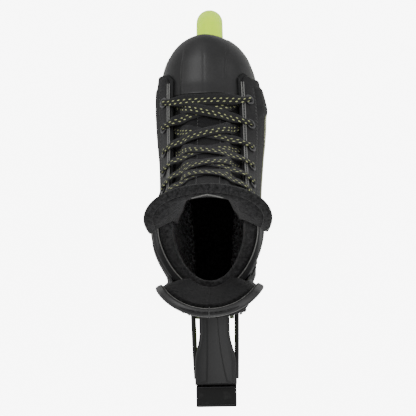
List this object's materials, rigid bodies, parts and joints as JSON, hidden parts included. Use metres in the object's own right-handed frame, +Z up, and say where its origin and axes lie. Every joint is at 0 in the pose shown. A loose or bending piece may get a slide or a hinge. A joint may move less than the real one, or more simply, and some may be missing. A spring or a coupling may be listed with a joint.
{
  "type": "inline skate",
  "caption": "Inline roller skate for the right foot: laced soft boot with flared tongue and cuff, low frame with wheels in a row, and a heel brake.",
  "frame": {"origin": "on the ground under the middle of the overall length, in the plane of the wheels", "axes": "+Y forward towards the toe, +X to the outer side of a right foot, +Z up"},
  "size_m": [0.1034, 0.365, 0.298],
  "materials": {
    "urethane": "satin, slightly translucent lime urethane",
    "hub_plastic": "satin",
    "steel": "machined",
    "composite": "matte moulded nylon",
    "rubber": "matte",
    "moulding": "satin moulded",
    "leather": "synthetic leather, fine grain",
    "felt": "brushed fabric",
    "lining_felt": "brushed fabric",
    "lace": "woven with pale flecks",
    "eyelet_metal": "black painted"
  },
  "bodies": {
    "skate": {"wheel_1_spacer": "steel", "axle_1": "steel", "axle_screw_1": "steel", "wheel_2_spacer": "steel", "axle_2": "steel", "axle_screw_2": "steel", "wheel_3_spacer": "steel", "axle_3": "steel", "axle_screw_3": "steel", "wheel_4_spacer": "steel", "axle_4": "steel", "axle_screw_4": "steel", "frame": "composite", "mount_bolt_front": "steel", "mount_bolt_rear": "steel", "brake_housing": "composite", "brake_pad": "rubber", "brake_screw": "steel", "outsole": "moulding", "toe_cap": "moulding", "quarter_inner": "leather", "quarter_outer": "leather", "eyestay_inner": "leather", "eyestay_outer": "leather", "heel_counter": "moulding", "tendon_guard": "leather", "tongue": "felt", "lining": "lining_felt", "collar": "felt", "footbed": "lining_felt", "lace": "lace", "eyelet_inner_1": "eyelet_metal", "eyelet_inner_2": "eyelet_metal", "eyelet_inner_3": "eyelet_metal", "eyelet_inner_4": "eyelet_metal", "eyelet_inner_5": "eyelet_metal", "eyelet_inner_6": "eyelet_metal", "eyelet_outer_1": "eyelet_metal", "eyelet_outer_2": "eyelet_metal", "eyelet_outer_3": "eyelet_metal", "eyelet_outer_4": "eyelet_metal", "eyelet_outer_5": "eyelet_metal", "eyelet_outer_6": "eyelet_metal"},
    "wheel_1": {"wheel_1_tyre": "urethane", "wheel_1_hub": "hub_plastic", "wheel_1_bearing_inner": "steel", "wheel_1_bearing_outer": "steel"},
    "wheel_2": {"wheel_2_tyre": "urethane", "wheel_2_hub": "hub_plastic", "wheel_2_bearing_inner": "steel", "wheel_2_bearing_outer": "steel"},
    "wheel_3": {"wheel_3_tyre": "urethane", "wheel_3_hub": "hub_plastic", "wheel_3_bearing_inner": "steel", "wheel_3_bearing_outer": "steel"},
    "wheel_4": {"wheel_4_tyre": "urethane", "wheel_4_hub": "hub_plastic", "wheel_4_bearing_inner": "steel", "wheel_4_bearing_outer": "steel"}
  },
  "joints": [
    {"name": "wheel_1_spin", "type": "hinge", "parent": "skate", "child": "wheel_1", "pos_m": [0, 0.1445, 0.038], "axis": [-1, 0, 0], "continuous": true},
    {"name": "wheel_2_spin", "type": "hinge", "parent": "skate", "child": "wheel_2", "pos_m": [0, 0.0655, 0.038], "axis": [-1, 0, 0], "continuous": true},
    {"name": "wheel_3_spin", "type": "hinge", "parent": "skate", "child": "wheel_3", "pos_m": [0, -0.0135, 0.038], "axis": [-1, 0, 0], "continuous": true},
    {"name": "wheel_4_spin", "type": "hinge", "parent": "skate", "child": "wheel_4", "pos_m": [0, -0.0925, 0.038], "axis": [-1, 0, 0], "continuous": true}
  ]
}
